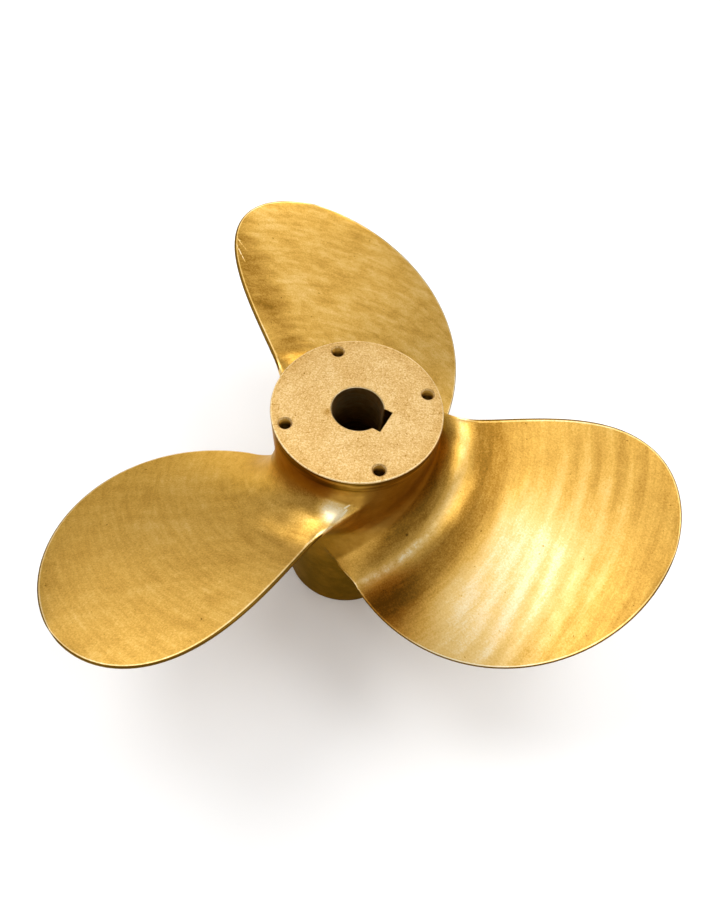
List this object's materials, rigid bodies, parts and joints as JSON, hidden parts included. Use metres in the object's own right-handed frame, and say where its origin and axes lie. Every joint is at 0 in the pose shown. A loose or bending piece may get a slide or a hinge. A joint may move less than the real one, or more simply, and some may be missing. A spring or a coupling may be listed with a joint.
{
  "type": "ship propeller",
  "caption": "Fixed-pitch screw propeller cast in one piece, with broad rounded blades on a long tapered hub with a keyed bore and tapped forward face.",
  "frame": {"origin": "centre of the bore in the plane of the hub's aft end, on which the propeller stands", "axes": "+Z forward along the shaft, up as it stands; +X through the middle of the keyway and the root of the first blade"},
  "size_m": [0.5264, 0.558, 0.281],
  "materials": {
    "bronze": "satin ground propeller bronze with grinding marks and brown patina"
  },
  "bodies": {
    "root": {"propeller_casting": "bronze"}
  },
  "joints": []
}
